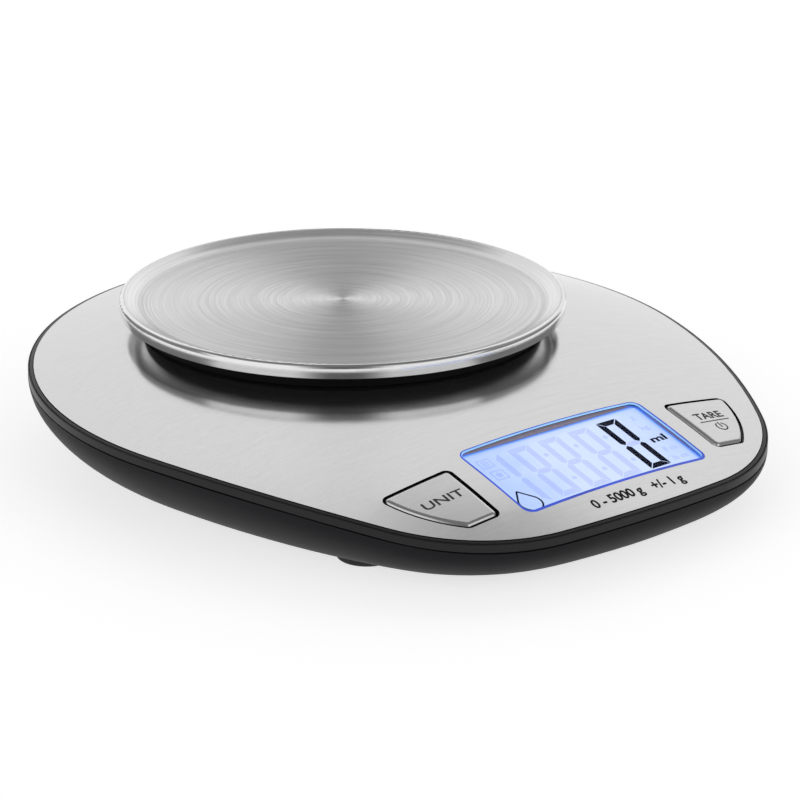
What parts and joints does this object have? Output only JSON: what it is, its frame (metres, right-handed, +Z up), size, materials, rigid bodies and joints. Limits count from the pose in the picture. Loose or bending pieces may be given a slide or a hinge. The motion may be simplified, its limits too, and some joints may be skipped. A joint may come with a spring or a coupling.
{
  "type": "kitchen scale",
  "caption": "Flat battery kitchen scale with a domed steel top, a round raised weighing tray, a backlit display and a button on each side of it.",
  "frame": {"origin": "on the table, at the middle of the plan", "axes": "X to the user's right, Y away from the user, Z up; the display faces -Y"},
  "size_m": [0.2288, 0.2509, 0.0482],
  "materials": {
    "tray_steel": "concentric brushed",
    "plate_steel": "straight brushed, left to right",
    "button_silver": "silver, finely brushed",
    "casing_black": "satin black moulding",
    "support_black": "satin black moulding",
    "foot_rubber": "matt",
    "window_clear": "clear, polished",
    "gasket_grey": "pale grey",
    "lcd_blue": "pale blue backlight, dark digits",
    "guide_white": "milky white",
    "strip_rubber": "striped silicone",
    "board_green": "solder resist",
    "blob_black": "epoxy",
    "screw_steel": "zinc plated",
    "contact_brass": "nickel plated",
    "cell_aluminium": "machined",
    "gauge_foil": "foil on film",
    "cell_jacket": "printed film",
    "lead_plastic": "flexible insulation",
    "foam_white": "adhesive foam"
  },
  "bodies": {
    "casing": {"top_plate": "plate_steel", "upper_casing": "casing_black", "lower_casing": "casing_black", "casing_screws": "screw_steel", "foot_front_left": "foot_rubber", "foot_front_right": "foot_rubber", "foot_back_left": "foot_rubber", "foot_back_right": "foot_rubber", "load_cell": "cell_aluminium", "strain_gauges": "gauge_foil", "load_cell_spacer": "screw_steel", "load_cell_screws": "screw_steel", "load_cell_lead": "lead_plastic", "battery_cells": "cell_jacket", "battery_contacts": "contact_brass", "battery_springs": "screw_steel", "battery_lead_positive": "lead_plastic", "battery_lead_negative": "lead_plastic", "display_window": "window_clear", "display_gasket": "gasket_grey", "lcd_glass": "lcd_blue", "light_guide": "guide_white", "reflector_sheet": "guide_white", "backlight_leds": "guide_white", "connector_strips": "strip_rubber", "lcd_frame": "guide_white", "main_board": "board_green", "board_screws": "screw_steel", "controller_blob": "blob_black", "board_components": "blob_black", "unit_switch_body": "blob_black", "tare_switch_body": "blob_black"},
    "platform": {"weighing_tray": "tray_steel", "bonding_pads": "foam_white", "tray_support": "support_black", "support_screws": "screw_steel"},
    "unit_key": {"unit_button": "button_silver", "unit_switch_plunger": "blob_black"},
    "tare_key": {"tare_button": "button_silver", "tare_switch_plunger": "blob_black"},
    "cover": {"battery_cover": "casing_black"}
  },
  "joints": [
    {"name": "platform_sink", "type": "slide", "parent": "casing", "child": "platform", "axis": [0, 0, 1], "range_m": [-0.0004, 0], "stiffness_N_per_m": 60000, "springref_m": 0.00002, "deforming": ["load_cell"]},
    {"name": "unit_press", "type": "slide", "parent": "casing", "child": "unit_key", "axis": [0, -0.2634, 0.9647], "range_m": [-0.0005, 0], "stiffness_N_per_m": 3200},
    {"name": "tare_press", "type": "slide", "parent": "casing", "child": "tare_key", "axis": [0, -0.2634, 0.9647], "range_m": [-0.0005, 0], "stiffness_N_per_m": 3200},
    {"name": "cover_release", "type": "slide", "parent": "casing", "child": "cover", "axis": [0, 0, -1], "range_m": [0, 0.02]}
  ]
}
